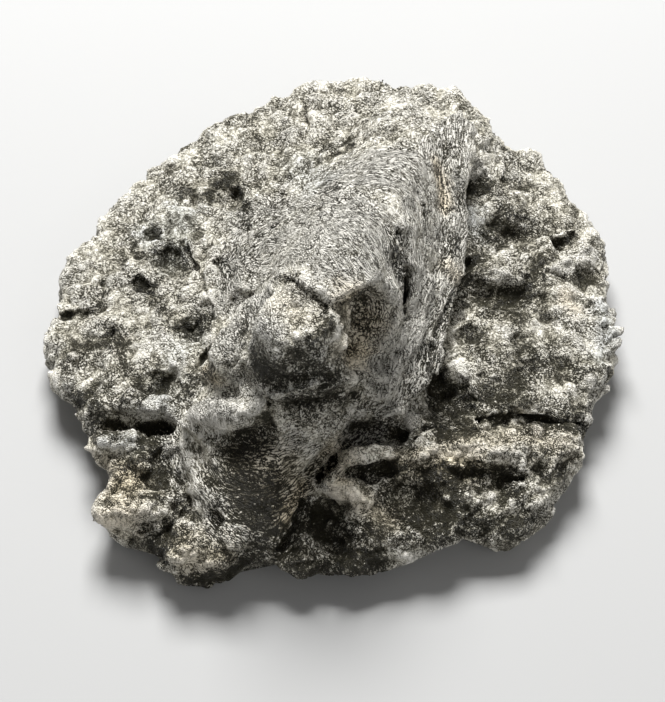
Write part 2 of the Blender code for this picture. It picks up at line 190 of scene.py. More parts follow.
# Folds, ledges and lumps: half width in pixels, height in mm, places.
FOLDS = (
    (9, 0.4, (
        (452, 130), (451, 170), (452, 205), (452, 240), (448, 268), (437, 300), (425, 332), (414, 362),
        (398, 396),
    )),
    (6, 0.8, ((398, 412), (370, 424), (345, 438), (320, 466), (306, 480))),
    (5, 0.7, ((314, 485), (295, 505), (283, 530), (272, 545))),
    (6, 0.4, ((276, 271), (300, 278), (318, 290), (332, 302), (346, 293), (362, 284))),
    (8, 0.4, ((328, 318), (336, 335), (340, 350))),
    (5, 1.0, ((278, 393), (296, 388), (312, 383), (330, 382))),
    (22, 1.2, ((198, 430), (222, 420), (252, 410))),
    (8, 0.6, ((166, 442), (182, 472), (196, 502), (216, 530), (236, 545))),
    (10, 0.6, ((104, 440), (136, 440))),
    (12, 0.45, ((98, 408), (125, 402), (150, 411), (176, 411))),
    (12, 0.4, ((425, 450), (470, 443), (530, 448), (590, 450))),
    (10, 0.5, ((352, 458), (385, 452), (420, 456))),
    (9, 0.5, ((478, 496), (495, 498))),
    (14, 0.5, ((118, 512), (145, 508))),
    (16, 0.5, ((188, 550), (208, 545))),
    (14, 0.5, ((345, 495), (368, 500))),
    (12, 0.4, ((138, 345), (155, 352))),
    (10, 0.4, ((540, 392), (575, 388))),
    (8, 0.4, ((262, 212), (300, 208), (332, 206), (352, 190))),
    (3, 0.5, ((356, 440), (345, 460), (332, 480))),
    (8, 0.4, ((450, 218), (452, 232))),
    (17, 1.2, ((426, 285), (416, 322), (405, 352), (392, 372), (378, 394))),
    (5, 0.9, ((590, 262),)),
    (4, 0.9, ((601, 283),)),
    (5, 1.1, ((609, 300),)),
    (4, 1.0, ((614, 316),)),
    (5, 1.1, ((613, 333),)),
    (4, 1.0, ((611, 349),)),
    (5, 0.9, ((606, 366),)),
    (5, 1.0, ((603, 388),)),
    (5, 0.9, ((598, 408),)),
    (5, 0.5, ((463, 492), (467, 483), (479, 479), (491, 482), (497, 491))),
    (6, 0.6, ((466, 499), (478, 503), (492, 501))),
    (9, 1.0, ((184, 505), (168, 522), (150, 534))),
    (7, 0.6, ((326, 466),)),
    (14, 1.0, ((196, 424), (208, 442), (218, 464))),
    (11, 0.9, ((506, 474), (516, 484))),
    (10, 0.6, ((455, 468), (478, 470))),
    (10, 0.9, ((340, 376), (362, 380), (386, 394))),
    (16, 1.3, ((200, 414), (226, 410), (250, 405))),
    (9, 0.7, ((234, 124), (248, 117), (260, 110))),
    (8, 0.6, ((172, 163), (184, 156))),
    (8, 0.6, ((61, 309),)),
    (7, 0.5, ((284, 100),)),
    (10, 1.3, ((350, 362), (368, 366), (386, 380))),
    (7, 0.7, ((580, 306),)),
    (7, 0.7, ((614, 346),)),
)

# Lines that the fibres of the smooth bone follow: half width in pixels, places.
FIBRES = (
    (26, ((345, 172), (375, 160), (400, 158), (420, 170), (432, 200), (434, 250), (430, 300))),
    (22, ((330, 190), (360, 178), (390, 182), (410, 200), (416, 230), (417, 290))),
    (26, ((268, 212), (300, 207), (335, 207), (365, 215), (385, 232), (393, 262), (397, 300),
          (400, 350), (392, 390))),
    (26, ((250, 245), (270, 232), (300, 225), (335, 225), (362, 235), (380, 260), (388, 300))),
    (24, ((262, 262), (285, 247), (315, 245), (345, 255), (365, 275))),
    (14, ((232, 340), (230, 300), (234, 262), (247, 235), (268, 214))),
    (20, ((258, 330), (256, 300), (262, 272), (285, 252))),
    (20, ((452, 130), (451, 170), (452, 205), (452, 240), (447, 268), (437, 300), (425, 332))),
    (16, ((434, 150), (430, 200), (430, 250), (424, 300), (412, 350))),
    (20, ((462, 215), (450, 262), (438, 305), (420, 345), (416, 375), (398, 408), (360, 428),
          (322, 466), (295, 495), (278, 530))),
    (20, ((396, 330), (392, 362), (378, 398), (350, 425), (320, 455), (290, 480))),
    (20, ((174, 430), (190, 470), (210, 500), (232, 525), (262, 536))),
    (26, ((195, 420), (205, 455), (225, 480), (255, 490), (290, 485), (315, 470))),
    (22, ((218, 425), (226, 450), (250, 462), (280, 465), (310, 455))),
    (18, ((235, 500), (262, 512), (285, 505))),
)


# Where the colour is darker, for darker mineral and as painted shade on pit walls, in cuts, under folds and
# along the bottom edge: half width in pixels, how much darker, and the lines it follows.
DARK_TONE_AND_SHADE_PATCHES = (
    (2.5, 0.3, (((505, 150), (507, 170), (503, 195)),)),
    (3, 0.2, (((268, 130), (272, 140)), ((380, 135), (398, 142)), ((545, 205), (556, 210)))),
    (3, 0.25, (((255, 130), (257, 138)), ((520, 165), (528, 170)))),
    (3, 0.3, (((82, 296),), ((424, 130), (436, 136)))),
    (3, 0.35, (((283, 203), (300, 208), (320, 206), (336, 203)), ((258, 238), (270, 228), (281, 220)))),
    (3, 0.5, (((134, 243), (137, 258)), ((124, 262), (127, 275)), ((258, 187),))),
    (3, 0.6, (((425, 428), (440, 428), (460, 431), (475, 429)),)),
    (4, 0.25, (((188, 218), (196, 224)), ((385, 110),))),
    (4, 0.3, (((105, 532), (116, 538)), ((304, 103), (310, 113)), ((500, 246),))),
    (4, 0.35, (((514, 187), (526, 190)), ((552, 346),))),
    (4, 0.4, (((102, 282), (106, 292)), ((352, 350),))),
    (4, 0.45, (((276, 277), (290, 278), (300, 283), (308, 292), (318, 300), (326, 311)),)),
    (4, 0.5, (((427, 206), (424, 216)), ((455, 210),), ((404, 298), (405, 316)))),
    (4, 0.7, (((560, 244), (566, 240), (576, 238)),)),
    (5, 0.2, (((278, 168), (290, 178)), ((545, 223),), ((375, 255), (378, 276)))),
    (5, 0.25, (((290, 243),),)),
    (5, 0.3, (
        ((175, 458), (178, 480)), ((540, 362), (570, 367), (592, 373)), ((264, 414), (275, 430)),
        ((99, 380), (102, 390)), ((246, 108),), ((601, 293),),
    )),
    (5, 0.35, (((66, 316), (85, 313), (103, 306)), ((448, 150),))),
    (5, 0.4, (
        ((193, 236),), ((359, 324), (370, 336)), ((272, 278), (284, 279)), ((498, 247), (504, 248)),
        ((64, 357), (66, 362)), ((171, 154),), ((116, 338),), ((217, 122),), ((305, 114),), ((193, 368),),
        ((111, 366),),
    )),
    (5, 0.5, (
        ((151, 229), (156, 238)), ((187, 390), (190, 398)), ((78, 398), (92, 402)), ((275, 191), (284, 197)),
        ((602, 370), (610, 374)), ((508, 495), (516, 498)), ((543, 252), (551, 254)), ((54, 311), (58, 316)),
        ((112, 495),), ((107, 376), (108, 384)), ((97, 348), (100, 354)), ((480, 491), (486, 493)),
        ((178, 396),), ((78, 350), (84, 352)), ((489, 237), (496, 236)), ((506, 499),),
        ((550, 252), (556, 258)), ((497, 405), (500, 410)), ((465, 485),), ((54, 306), (56, 310)),
    )),
    (5, 0.6, (
        ((349, 140), (351, 147)), ((344, 398), (356, 397)), ((142, 498), (152, 496)),
        ((102, 341), (112, 344)), ((340, 304), (352, 297), (366, 290), (380, 293)),
    )),
    (6, 0.15, (((166, 306), (184, 326)),)),
    (6, 0.2, (((207, 250), (211, 258)),)),
    (6, 0.25, (((392, 125), (400, 131)),)),
    (6, 0.3, (
        ((148, 326),), ((158, 370), (168, 378)), ((323, 148), (335, 155)), ((478, 180), (486, 168)),
        ((512, 340),), ((545, 450), (528, 456)), ((324, 314), (331, 323)), ((529, 442),), ((600, 292),),
    )),
    (6, 0.35, (((222, 262), (228, 278)), ((112, 400), (122, 408)))),
    (6, 0.4, (
        ((178, 500), (183, 512)), ((560, 470), (576, 475)), ((238, 424), (246, 431)),
        ((268, 401), (300, 398), (321, 402)), ((140, 390), (144, 400)), ((66, 372), (70, 377)), ((70, 378),),
        ((494, 199),), ((522, 323),), ((213, 125), (216, 120)), ((59, 337),), ((304, 112), (307, 117)),
        ((84, 243),), ((509, 427), (535, 430)), ((502, 503),), ((301, 273),), ((122, 250),), ((127, 397),),
        ((156, 359),), ((130, 492),), ((490, 412),), ((451, 255),), ((543, 235),), ((461, 205),),
        ((105, 532),),
    )),
    (6, 0.5, (
        ((462, 476), (478, 474)), ((124, 345), (125, 370)), ((566, 281), (590, 282)),
        ((480, 311), (490, 312)), ((127, 393), (134, 394)), ((508, 314), (516, 315)),
        ((476, 516), (484, 517)), ((120, 502), (105, 504)), ((523, 247),), ((94, 386),),
        ((149, 299), (142, 292)), ((517, 496),), ((219, 562), (226, 566)), ((456, 240), (452, 251)),
        ((140, 500),), ((531, 347),), ((120, 463), (126, 463)), ((156, 499),), ((115, 490),), ((467, 483),),
        ((328, 320),), ((456, 296),),
    )),
    (6, 0.55, (((564, 278), (578, 275), (592, 281)),)),
    (6, 0.6, (
        ((474, 264), (463, 285), (452, 310), (441, 332)), ((395, 438),),
        ((355, 470), (370, 468), (385, 465), (399, 468)), ((545, 424), (565, 426), (585, 430)),
        ((190, 372), (196, 376)), ((308, 338), (320, 333)), ((190, 514), (196, 520)),
        ((455, 421), (466, 422)), ((555, 480), (560, 476)), ((144, 463), (148, 470)),
    )),
    (6, 0.7, (
        ((178, 196), (188, 189), (198, 192), (208, 200)),
        ((478, 420), (497, 416), (520, 415), (541, 420), (560, 424), (582, 427), (606, 430)),
        ((76, 398), (88, 398), (98, 403)), ((430, 358), (434, 372)), ((480, 421), (492, 420)),
    )),
    (6, 1.0, (((395, 238), (398, 246), (400, 254), (402, 262)),)),
    (7, 0.2, (((241, 260), (236, 276)), ((436, 165), (440, 182)))),
    (7, 0.25, (((80, 345), (92, 350)),)),
    (7, 0.3, (((165, 525), (182, 530)), ((452, 254), (458, 242)), ((288, 262),), ((321, 187),))),
    (7, 0.35, (((134, 545), (162, 553)), ((498, 528), (521, 530)))),
    (7, 0.4, (
        ((482, 236), (495, 228), (510, 228), (521, 237)), ((505, 308), (518, 313)), ((62, 350), (72, 355)),
        ((243, 334),), ((210, 486),), ((174, 403),), ((573, 209),), ((550, 172),), ((149, 395), (156, 392)),
        ((452, 411), (456, 416)), ((446, 304),), ((245, 322), (241, 338)),
    )),
    (7, 0.45, (((212, 512), (217, 523)), ((498, 215), (510, 210), (522, 216)))),
    (7, 0.5, (
        ((92, 420), (105, 418), (118, 424)), ((460, 466), (480, 462), (500, 468), (516, 476)), ((246, 109),),
        ((537, 424), (555, 427), (566, 427), (578, 430)), ((565, 379), (572, 380)), ((483, 268), (480, 258)),
        ((366, 492),), ((171, 155), (183, 148)), ((569, 413), (576, 416)),
    )),
    (7, 0.6, (((317, 479), (331, 472)), ((164, 555), (174, 556)), ((240, 514), (240, 508)))),
    (7, 0.7, (((95, 436), (108, 434)),)),
    (7, 0.9, (((440, 433), (459, 434), (473, 431)),)),
    (8, 0.2, (((160, 262), (158, 276)), ((520, 350), (531, 359)))),
    (8, 0.25, (((322, 185), (334, 200)),)),
    (8, 0.3, (
        ((88, 431), (120, 432)), ((140, 468), (150, 486)), ((535, 265), (540, 280), (530, 291)),
        ((396, 484), (384, 496)), ((234, 444), (258, 451)), ((254, 354), (262, 375)), ((329, 190),),
    )),
    (8, 0.35, (
        ((168, 524), (150, 536)), ((478, 280), (500, 290), (520, 295)), ((458, 528), (482, 536)),
        ((268, 434), (260, 446)),
    )),
    (8, 0.4, (
        ((136, 281), (150, 290), (156, 298)), ((205, 368), (214, 378)), ((212, 575), (235, 570)),
        ((495, 301), (515, 303)), ((541, 307), (545, 318)), ((246, 110), (232, 116)),
        ((311, 417), (294, 413)), ((259, 484), (250, 476)), ((200, 544), (194, 540)), ((86, 390), (80, 394)),
        ((168, 479), (162, 467)), ((431, 364), (434, 370)), ((241, 517), (266, 480)), ((249, 263),),
        ((169, 490),), ((338, 477),),
    )),
    (8, 0.45, (((298, 351), (317, 344)),)),
    (8, 0.5, (
        ((430, 353), (437, 375)), ((505, 480), (516, 491)), ((300, 528), (300, 546)),
        ((340, 560), (376, 556)), ((138, 455), (150, 452)), ((540, 256), (550, 252)),
        ((472, 305), (484, 300)), ((523, 399), (500, 400)), ((511, 548), (506, 544)),
        ((421, 387), (428, 384)),
    )),
    (8, 0.6, (
        ((460, 200), (470, 190), (485, 188), (492, 194)), ((515, 525), (530, 522)), ((432, 545), (449, 534)),
        ((455, 437), (463, 437)),
    )),
    (8, 0.7, (
        ((212, 186), (222, 176), (234, 180), (240, 192), (244, 206), (246, 218)),
        ((432, 420), (450, 424), (470, 426)), ((448, 478), (456, 488), (459, 498)), ((452, 516), (466, 517)),
        ((370, 530), (380, 531)),
    )),
    (8, 0.9, (((399, 236), (402, 256), (404, 275), (406, 292)),)),
    (9, 0.3, (((400, 245), (398, 252)),)),
    (9, 0.35, (((464, 330), (478, 334), (481, 346)),)),
    (9, 0.4, (((411, 538), (396, 531)), ((403, 248), (405, 285)))),
    (9, 0.45, (((110, 328), (118, 338)),)),
    (9, 0.5, (((141, 388), (156, 384), (172, 380)),)),
    (9, 0.7, (((350, 430), (365, 424), (385, 424), (398, 430)),)),
    (9, 0.8, (((186, 588), (205, 590), (226, 584), (250, 566)), ((380, 580), (392, 583), (402, 578)))),
    (10, 0.3, (((440, 470), (428, 481)),)),
    (10, 0.35, (((329, 384), (336, 395)),)),
    (10, 0.4, (((150, 460), (160, 475), (163, 490)), ((515, 385), (530, 395)))),
    (10, 0.5, (
        ((160, 249), (170, 245), (180, 251), (186, 262)), ((222, 535), (240, 530), (222, 552)),
        ((162, 312), (172, 322), (182, 330)), ((256, 502), (270, 502), (252, 515)),
    )),
    (10, 0.6, (((145, 425), (158, 422), (168, 428), (150, 438)), ((430, 474), (450, 474)))),
    (10, 0.7, (((158, 550), (172, 540)),)),
    (10, 0.8, (((145, 436), (160, 434), (150, 444)),)),
    (10, 1.0, (((190, 583), (204, 585), (214, 577), (226, 579), (253, 561)),)),
    (12, 0.2, (((480, 385), (491, 396)),)),
    (12, 0.35, (((450, 384),),)),
    (12, 0.5, (((211, 318), (203, 325), (195, 335), (188, 330)),)),
    (12, 0.7, (((405, 516), (420, 522)),)),
    (12, 0.8, (((262, 545), (275, 535)),)),
    (14, 0.15, (((500, 360), (510, 380), (520, 391)),)),
    (14, 0.25, (((360, 466), (378, 460)),)),
    (14, 0.3, (((245, 440), (270, 455), (250, 470)),)),
    (14, 0.35, (((430, 500), (418, 510), (440, 521)),)),
    (14, 0.4, (((224, 464), (230, 474), (226, 486)),)),
    (14, 0.45, (((355, 295), (370, 300), (376, 316)),)),
    (14, 0.7, (((300, 510), (315, 520), (330, 530), (345, 541)),)),
    (14, 0.9, (((262, 566), (290, 565), (310, 572), (345, 577), (370, 568)),)),
    (16, 0.5, (((432, 390), (450, 400), (470, 405)),)),
    (18, 0.4, (((262, 365), (290, 364), (311, 370)),)),
    (20, 0.3, (((262, 366), (290, 380), (325, 388)),)),
    (20, 0.45, (((255, 480), (290, 490), (270, 505), (240, 500)),)),
    (28, 0.12, (((540, 250), (552, 380)),)),
    (40, 0.12, (((470, 220), (495, 290), (505, 350)),)),
    (40, 0.14, (((235, 470), (250, 510), (290, 520)),)),
    (45, 0.14, (((430, 495), (500, 500), (560, 480)),)),
)

# Where the colour is paler, for paler mineral and as painted light on lips, ledges, hollow floors and lumps:
# half width in pixels, how much paler, and the lines it follows.
PALE_TONE_AND_LIGHT_PATCHES = (
    (3, 0.35, (((284, 392), (300, 386), (311, 383)),)),
    (4, 0.2, (((314, 145), (321, 151)),)),
    (4, 0.3, (((579, 440), (583, 451)), ((370, 365),))),
    (4, 0.5, (((147, 232), (147, 241)),)),
    (5, 0.2, (((490, 456),), ((510, 503),), ((184, 225), (190, 233)))),
    (5, 0.3, (((302, 486), (293, 506)), ((317, 560), (325, 552)))),
    (5, 0.4, (((154, 231),),)),
    (5, 0.5, (((192, 262), (198, 268)), ((280, 391), (296, 386), (314, 382), (328, 381)))),
    (6, 0.15, (((494, 542), (511, 546)),)),
    (6, 0.2, (((444, 224), (456, 234)), ((224, 205), (236, 211)), ((455, 180), (452, 196)))),
    (6, 0.25, (((515, 419), (514, 436)),)),
    (6, 0.3, (
        ((394, 550), (415, 558), (431, 552)), ((199, 190), (206, 186)), ((520, 227),), ((521, 227),),
    )),
    (6, 0.4, (
        ((146, 242), (146, 232)), ((176, 366), (174, 374)), ((72, 305), (84, 304)), ((142, 414), (152, 416)),
        ((186, 204), (194, 206)), ((454, 180), (457, 192)), ((483, 293),), ((414, 188), (416, 196)),
        ((114, 279), (99, 290)), ((239, 296),), ((483, 294),), ((187, 195), (190, 204)), ((134, 522),),
        ((184, 243),),
    )),
    (6, 0.5, (
        ((336, 300), (342, 304)), ((455, 316), (453, 336)), ((377, 276), (381, 286)),
        ((171, 448), (175, 455)), ((475, 177), (479, 168)), ((484, 144), (477, 134)),
    )),
    (7, 0.15, (((464, 315), (481, 323)), ((180, 205), (196, 211)))),
    (7, 0.2, (((499, 324), (505, 336)),)),
    (7, 0.3, (
        ((104, 443), (125, 447), (136, 440)), ((450, 264), (456, 276)), ((600, 330), (616, 341)),
        ((606, 335), (612, 345)), ((510, 160),),
    )),
    (7, 0.4, (
        ((334, 104),), ((500, 150), (508, 160)), ((484, 143),), ((402, 425), (412, 420)),
        ((168, 370), (176, 372)), ((507, 459), (514, 457)), ((346, 294), (350, 282)),
        ((223, 163), (230, 166)), ((280, 140), (288, 136)), ((489, 345),), ((242, 177),),
    )),
    (7, 0.5, (
        ((205, 300), (215, 308)), ((203, 304), (212, 310)), ((140, 415), (165, 416)),
        ((264, 201), (276, 211)), ((131, 524), (137, 521)),
    )),
    (8, 0.1, (((120, 385), (131, 393)),)),
    (8, 0.15, (
        ((170, 345), (181, 361)), ((428, 445), (441, 456)), ((396, 531), (385, 514)),
        ((329, 431), (351, 414)),
    )),
    (8, 0.2, (
        ((539, 437), (566, 441)), ((329, 360), (345, 366), (356, 359)), ((289, 430), (297, 440), (306, 451)),
        ((214, 230), (236, 228)),
    )),
    (8, 0.25, (
        ((314, 264), (325, 281)), ((149, 509), (161, 516)), ((229, 529), (251, 541)),
        ((534, 329), (541, 336)),
    )),
    (8, 0.3, (
        ((184, 520), (196, 536)), ((464, 440), (476, 451)), ((590, 300), (611, 311)),
        ((345, 276), (352, 284)), ((470, 224), (482, 214)), ((426, 98), (375, 98)), ((360, 195), (352, 205)),
        ((462, 382),), ((582, 302), (576, 298)), ((278, 240), (290, 232)),
    )),
    (8, 0.4, (
        ((380, 284), (384, 300)), ((556, 272), (570, 266), (584, 262)), ((458, 454), (470, 455)),
        ((296, 441), (290, 432)), ((246, 406), (256, 404)), ((334, 107), (340, 104)),
        ((226, 391), (234, 390)), ((206, 438), (222, 430)), ((616, 342), (600, 341)),
        ((239, 296), (206, 304)),
    )),
    (8, 0.5, (
        ((474, 172), (484, 174)), ((238, 290), (243, 302)), ((358, 268), (368, 273)),
        ((224, 391), (234, 391)),
    )),
    (8, 0.6, (((560, 266), (585, 262)),)),
    (9, 0.1, (((455, 372), (465, 380)),)),
    (9, 0.15, (((150, 405), (165, 395), (171, 406)), ((244, 168), (261, 172)))),
    (9, 0.2, (((544, 385), (571, 391)),)),
    (9, 0.25, (((474, 214), (481, 226)), ((534, 484), (551, 501)))),
    (9, 0.35, (((474, 495), (491, 501)),)),
    (10, 0.2, (((459, 370), (476, 376)),)),
    (10, 0.25, (((324, 490), (345, 495), (361, 506)),)),
    (10, 0.4, (((340, 498), (356, 504)), ((373, 311), (378, 300), (385, 335)))),
    (10, 0.5, (((225, 388), (240, 392)),)),
    (12, 0.1, (((300, 220), (340, 225), (371, 236)),)),
    (12, 0.25, (((498, 250), (511, 265), (500, 276)), ((568, 300), (584, 303)))),
    (12, 0.3, (((205, 425), (225, 415), (250, 406)),)),
    (12, 0.4, (((352, 355), (368, 362)), ((120, 520), (138, 524)))),
    (12, 0.5, (((424, 288), (416, 322), (404, 352)),)),
    (13, 0.2, (((85, 370), (90, 386)),)),
    (13, 0.3, (((569, 294), (576, 305), (565, 316)), ((570, 300), (582, 302)))),
    (14, 0.12, (((180, 550), (202, 560)),)),
    (14, 0.15, (((120, 494), (125, 515), (110, 521)),)),
    (14, 0.2, (((330, 270), (346, 284)),)),
    (14, 0.25, (((198, 411), (230, 410), (250, 410)), ((549, 321), (567, 340), (590, 330)))),
    (14, 0.3, (((155, 320), (166, 340), (150, 351)),)),
    (14, 0.45, (((385, 392), (390, 372), (392, 355)),)),
    (18, 0.25, (((283, 298), (288, 320), (308, 324)),)),
    (30, 0.1, (((320, 220), (360, 240), (345, 270)),)),
    (40, 0.08, (((290, 110), (380, 110), (470, 140)),)),
)

# Where it is tan or brown: half width in pixels, how warm, and the lines it follows. Cool grey is below 0.
WARM_PATCHES = (
    (8, 0.6, (((448, 265), (456, 276)),)),
    (8, 0.9, (((436, 165), (440, 182), (444, 205)),)),
    (8, 1.0, (((302, 486), (293, 506), (285, 520)),)),
    (9, -0.8, (((600, 305), (608, 335), (600, 360)),)),
    (9, 0.6, (((566, 296), (575, 308)),)),
    (9, 0.8, (((205, 366), (213, 378)),)),
    (12, -0.6, (((105, 443), (130, 443)),)),
    (12, -0.5, (((195, 330), (180, 350)),)),
    (12, 0.5, (((340, 350), (362, 360)),)),
    (14, -0.7, (((470, 215), (478, 228)),)),
    (14, 0.5, (((400, 465), (440, 470), (470, 468)), ((340, 495), (360, 505), (390, 520)))),
    (14, 0.6, (((330, 450), (345, 462), (322, 474)),)),
    (16, -0.8, (((150, 236), (170, 262), (180, 212)),)),
    (16, -0.5, (((160, 398), (170, 385)),)),
    (16, 0.3, (((280, 300), (300, 318)),)),
    (16, 0.4, (((100, 455), (115, 465), (130, 478)),)),
    (16, 0.8, (((350, 300), (372, 320), (352, 345)),)),
    (18, -0.6, (((300, 165), (318, 186)),)),
    (18, 0.4, (((450, 448), (510, 440), (560, 440)),)),
    (20, 0.5, (((184, 545), (195, 562), (215, 560)),)),
    (22, 0.5, (((255, 460), (280, 470), (262, 490)),)),
    (22, 0.6, (((122, 488), (125, 515), (112, 522)),)),
    (30, -0.3, (((265, 360), (310, 370)),)),
)

# Where the grain is fainter: half width in pixels, how much fainter, and the lines it follows.
CALM_PATCHES = (
    (32, 1.0, (((208, 450), (226, 474), (248, 498), (280, 515), (290, 480)),)),
)


def sight_line(pixel):
    """Where the line of sight through a frame position starts, and which way it runs."""
    right = Vector((1, 0, 0))
    focal = PIXELS_PER_MM * CAMERA_DISTANCE
    across = (pixel[0] - FRAME_WIDTH / 2) / focal
    down = (pixel[1] - FRAME_HEIGHT / 2) / focal
    way = -TO_CAMERA + right * across - CAMERA_UP * down
    return AIM + TO_CAMERA * CAMERA_DISTANCE, way.normalized()


def places_on(tree, pixels):
    """Points of the surface that these frame positions show, one for each that meets it."""
    places = []
    for pixel in pixels:
        start, way = sight_line(pixel)
        hit = tree.ray_cast(start, way)[0]
        if hit is not None:
            places.append(np.array(hit))
    return places


def read_mesh(mesh):
    """Points in millimetres and quads of a mesh made of quads only."""
    points = np.empty(len(mesh.vertices) * 3)
    mesh.vertices.foreach_get("co", points)
    corners = np.empty(len(mesh.loops), int)
    mesh.loops.foreach_get("vertex_index", corners)
    return points.reshape(-1, 3) / MM, corners.reshape(-1, 4)


def write_points(mesh, points):
    mesh.vertices.foreach_set("co", (points * MM).ravel())
    mesh.update()


def normals_of(points, quads):
    """The surface's outward direction at each point."""
    a, b, c, d = (points[quads[:, k]] for k in range(4))
    facing = np.cross(c - a, d - b)
    normals = np.zeros_like(points)
    for axis in range(3):
        for k in range(4):
            normals[:, axis] += np.bincount(quads[:, k], facing[:, axis], len(points))
    return normals / np.maximum(np.linalg.norm(normals, axis=1), 1e-9)[:, None]


def averaged(values, quads, times):
    """Values at the points, each evened out with its neighbours' that many times."""
    ends = np.concatenate([quads[:, [0, 1]], quads[:, [1, 2]], quads[:, [2, 3]], quads[:, [3, 0]]])
    count = np.bincount(ends[:, 0], minlength=len(values)) + np.bincount(ends[:, 1], minlength=len(values))
    values = values.reshape(len(values), -1)
    for _ in range(times):
        total = np.empty_like(values)
        for k in range(values.shape[1]):
            total[:, k] = np.bincount(ends[:, 0], values[ends[:, 1], k], len(values))
            total[:, k] += np.bincount(ends[:, 1], values[ends[:, 0], k], len(values))
        values = 0.5 * values + 0.5 * total / count[:, None]
    return values.squeeze()


def tree_of(points, quads):
    return BVHTree.FromPolygons(points.tolist(), quads.tolist())


def noise_at(points, size, shift=0.0):
    """Soft noise from -1 to 1 at each point, with lumps about this many millimetres across."""
    places = points / size + shift
    return np.array([noise.noise(place) for place in places])


def distance_to_line(points, places):
    """How far each point is from a line through some places, and which stretch of it is nearest."""
    nearest = np.full(len(points), 1e9)
    stretch = np.zeros(len(points), int)
    if len(places) == 1:
        return np.linalg.norm(points - places[0], axis=1), stretch
    for k, (start, end) in enumerate(zip(places, places[1:])):
        along = end - start
        share = np.clip((points - start) @ along / max(along @ along, 1e-9), 0, 1)
        gap = np.linalg.norm(points - start - share[:, None] * along, axis=1)
        closer = gap < nearest
        nearest[closer] = gap[closer]
        stretch[closer] = k
    return nearest, stretch


def bump(share):
    """A rounded bump, 1 in the middle and 0 from share 1 on."""
    return 0.5 + 0.5 * np.cos(np.pi * np.clip(share, 0, 1))


def pit_shape(share):
    """A bowl with a raised lip."""
    return -bump(share**1.3) + 0.25 * np.exp(-(((share - 1.15) / 0.25) ** 2))


def cut_shape(share):
    """A cut with steep sides and slight lips."""
    return -np.clip(1 - share, 0, 1) ** 0.7 + 0.15 * np.exp(-(((share - 1.3) / 0.3) ** 2))


def carve(points, quads, rows, shape, wander):
    """Moves the surface in or out along its own direction round each row's line."""
    tree = tree_of(points, quads)
    normals = normals_of(points, quads)
    seen = np.clip((normals @ np.array(TO_CAMERA) + 0.25) / 0.25, 0, 1)
    moved = np.zeros(len(points))
    for width, height, pixels in rows:
        places = places_on(tree, pixels)
        if not places:
            continue
        radius = width / PIXELS_PER_MM
        share = distance_to_line(points, places)[0] / radius
        near = np.flatnonzero(share < 2.5)
        uneven = share[near] * (1 + wander[near])
        moved[near] += height * shape(uneven) * seen[near]
    return points + normals * moved[:, None]


def evened(thing, voxel):
    """A new mesh of this object, in quads of one size."""
    even = thing.modifiers.new("even mesh", "REMESH")
    even.mode = "VOXEL"
    even.voxel_size = voxel * MM
    graph = bpy.context.evaluated_depsgraph_get()
    mesh = bpy.data.meshes.new_from_object(thing.evaluated_get(graph))
    thing.modifiers.remove(even)
    return mesh


def bone_blank():
    """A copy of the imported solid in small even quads, with its facets smoothed away."""
    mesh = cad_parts["scute"].data.copy()
    mesh.materials.clear()
    bone = bpy.data.objects.new("scute_bone", mesh)
    bpy.context.scene.collection.objects.link(bone)
    weld = bone.modifiers.new("closed", "WELD")
    weld.merge_threshold = 0.00001
    bone.data = evened(bone, BLANK_VOXEL)
    bone.modifiers.remove(weld)
    points, quads = read_mesh(bone.data)
    write_points(bone.data, averaged(points, quads, 3))
    return bone


def set_point_values(mesh, name, values):
    kind = "FLOAT" if values.ndim == 1 else "FLOAT_VECTOR"
    layer = mesh.attributes.new(name, kind, "POINT")
    layer.data.foreach_set("value" if values.ndim == 1 else "vector", values.astype(np.float32).ravel())


def crumb_tree(material):
    """Scatters crumbs of bone over the surface where it is crumbly."""
    tree = bpy.data.node_groups.new("bone crumbs", "GeometryNodeTree")
    tree.interface.new_socket(name="Geometry", in_out="INPUT", socket_type="NodeSocketGeometry")
    tree.interface.new_socket(name="Geometry", in_out="OUTPUT", socket_type="NodeSocketGeometry")
    for name, kind in (
        ("Crumb Size", "NodeSocketFloat"),
        ("Crumbs per Square Metre", "NodeSocketFloat"),
        ("Seed", "NodeSocketInt"),
    ):
        tree.interface.new_socket(name=name, in_out="INPUT", socket_type=kind)

    def add(kind, **settings):
        node = tree.nodes.new(kind)
        for key, value in settings.items():
            setattr(node, key, value)
        return node

    def join(source, out, target, into):
        tree.links.new(source.outputs[out], target.inputs[into])

    given = add("NodeGroupInput")
    result = add("NodeGroupOutput")
    crumbly = add("GeometryNodeInputNamedAttribute", data_type="FLOAT")
    crumbly.inputs["Name"].default_value = "crumbly"
    density = add("ShaderNodeMath", operation="MULTIPLY")
    join(crumbly, "Attribute", density, 0)
    join(given, "Crumbs per Square Metre", density, 1)
    scatter = add("GeometryNodeDistributePointsOnFaces", distribute_method="RANDOM")
    join(given, "Geometry", scatter, "Mesh")
    join(density, 0, scatter, "Density")
    join(given, "Seed", scatter, "Seed")
    ball = add("GeometryNodeMeshIcoSphere")
    ball.inputs["Subdivisions"].default_value = 1
    join(given, "Crumb Size", ball, "Radius")
    size = add("FunctionNodeRandomValue", data_type="FLOAT_VECTOR")
    size.inputs["Min"].default_value = (0.5, 0.5, 0.4)
    size.inputs["Max"].default_value = (1.5, 1.3, 1.0)
    join(given, "Seed", size, "Seed")
    place = add("GeometryNodeInstanceOnPoints")
    join(scatter, "Points", place, "Points")
    join(ball, "Mesh", place, "Instance")
    join(scatter, "Rotation", place, "Rotation")
    join(size, "Value", place, "Scale")
    solid = add("GeometryNodeRealizeInstances")
    join(place, "Instances", solid, "Geometry")
    both = add("GeometryNodeJoinGeometry")
    join(given, "Geometry", both, "Geometry")
    join(solid, "Geometry", both, "Geometry")
    finish = add("GeometryNodeSetMaterial")
    finish.inputs["Material"].default_value = material
    join(both, "Geometry", finish, "Geometry")
    join(finish, "Geometry", result, "Geometry")
    return tree


